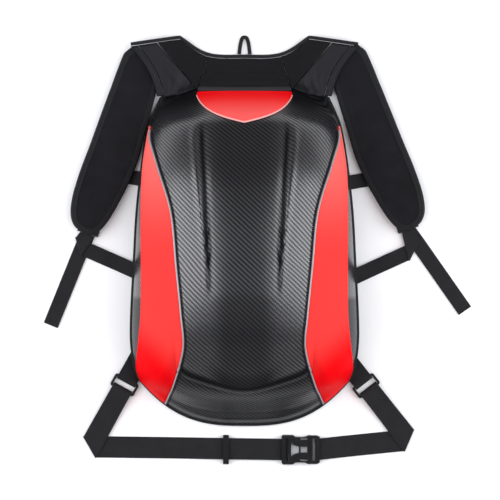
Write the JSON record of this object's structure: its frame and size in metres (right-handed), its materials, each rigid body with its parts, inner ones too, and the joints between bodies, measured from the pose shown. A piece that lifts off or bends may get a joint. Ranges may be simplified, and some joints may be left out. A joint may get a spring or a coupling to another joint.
{
  "type": "hard shell backpack",
  "caption": "Hard shell backpack with a domed moulded front, coloured side panels, padded shoulder straps and a buckled hip belt, lying on its back panel.",
  "frame": {"origin": "centre of the back panel's outer face, which the pack lies on", "axes": "+Z out of the domed front, +Y towards the head end, +X to the right as seen from the front"},
  "size_m": [0.5997, 0.6018, 0.1517],
  "materials": {
    "carbon_shell": "moulded skin embossed with a diagonal twill, satin sheen",
    "red_skin": "fine grained coated skin, satin",
    "grey_piping": "pale reflective piping",
    "back_padding": "black spacer mesh over foam",
    "yoke_mesh": "black knitted mesh",
    "satin_cloth": "black ripstop with a soft sheen",
    "strap_padding": "black brushed knit over foam",
    "strap_binding": "black bound tape, stitched",
    "webbing": "black ribbed webbing",
    "black_plastic": "black moulded nylon, slight gloss"
  },
  "bodies": {
    "root": {"shell": "carbon_shell", "back_panel": "back_padding", "edge_binding": "strap_binding", "badge": "red_skin", "badge_piping": "grey_piping", "yoke_centre": "yoke_mesh", "yoke_strip": "satin_cloth", "neck_binding": "strap_binding", "hang_loop": "webbing", "belt_slider": "black_plastic", "buckle_socket": "black_plastic", "buckle_plug": "black_plastic", "side_panel_left": "red_skin", "side_panel_right": "red_skin", "piping_left": "grey_piping", "piping_right": "grey_piping", "yoke_mesh_left": "yoke_mesh", "yoke_mesh_right": "yoke_mesh", "yoke_wing_left": "satin_cloth", "yoke_wing_right": "satin_cloth", "yoke_hem_left": "satin_cloth", "yoke_hem_right": "satin_cloth", "shoulder_strap_left": "strap_padding", "shoulder_strap_right": "strap_padding", "strap_binding_outer_left": "strap_binding", "strap_binding_outer_right": "strap_binding", "strap_binding_inner_left": "strap_binding", "strap_binding_inner_right": "strap_binding", "upper_side_web_left": "webbing", "upper_side_web_right": "webbing", "strap_adjuster_left": "black_plastic", "strap_adjuster_right": "black_plastic", "lower_side_web_left": "webbing", "lower_side_web_right": "webbing", "strap_tail_left": "webbing", "strap_tail_right": "webbing", "belt_ring_left": "black_plastic", "belt_ring_right": "black_plastic", "belt_tab_left": "webbing", "belt_tab_right": "webbing", "belt_web_left": "webbing", "belt_web_right": "webbing"}
  },
  "joints": []
}
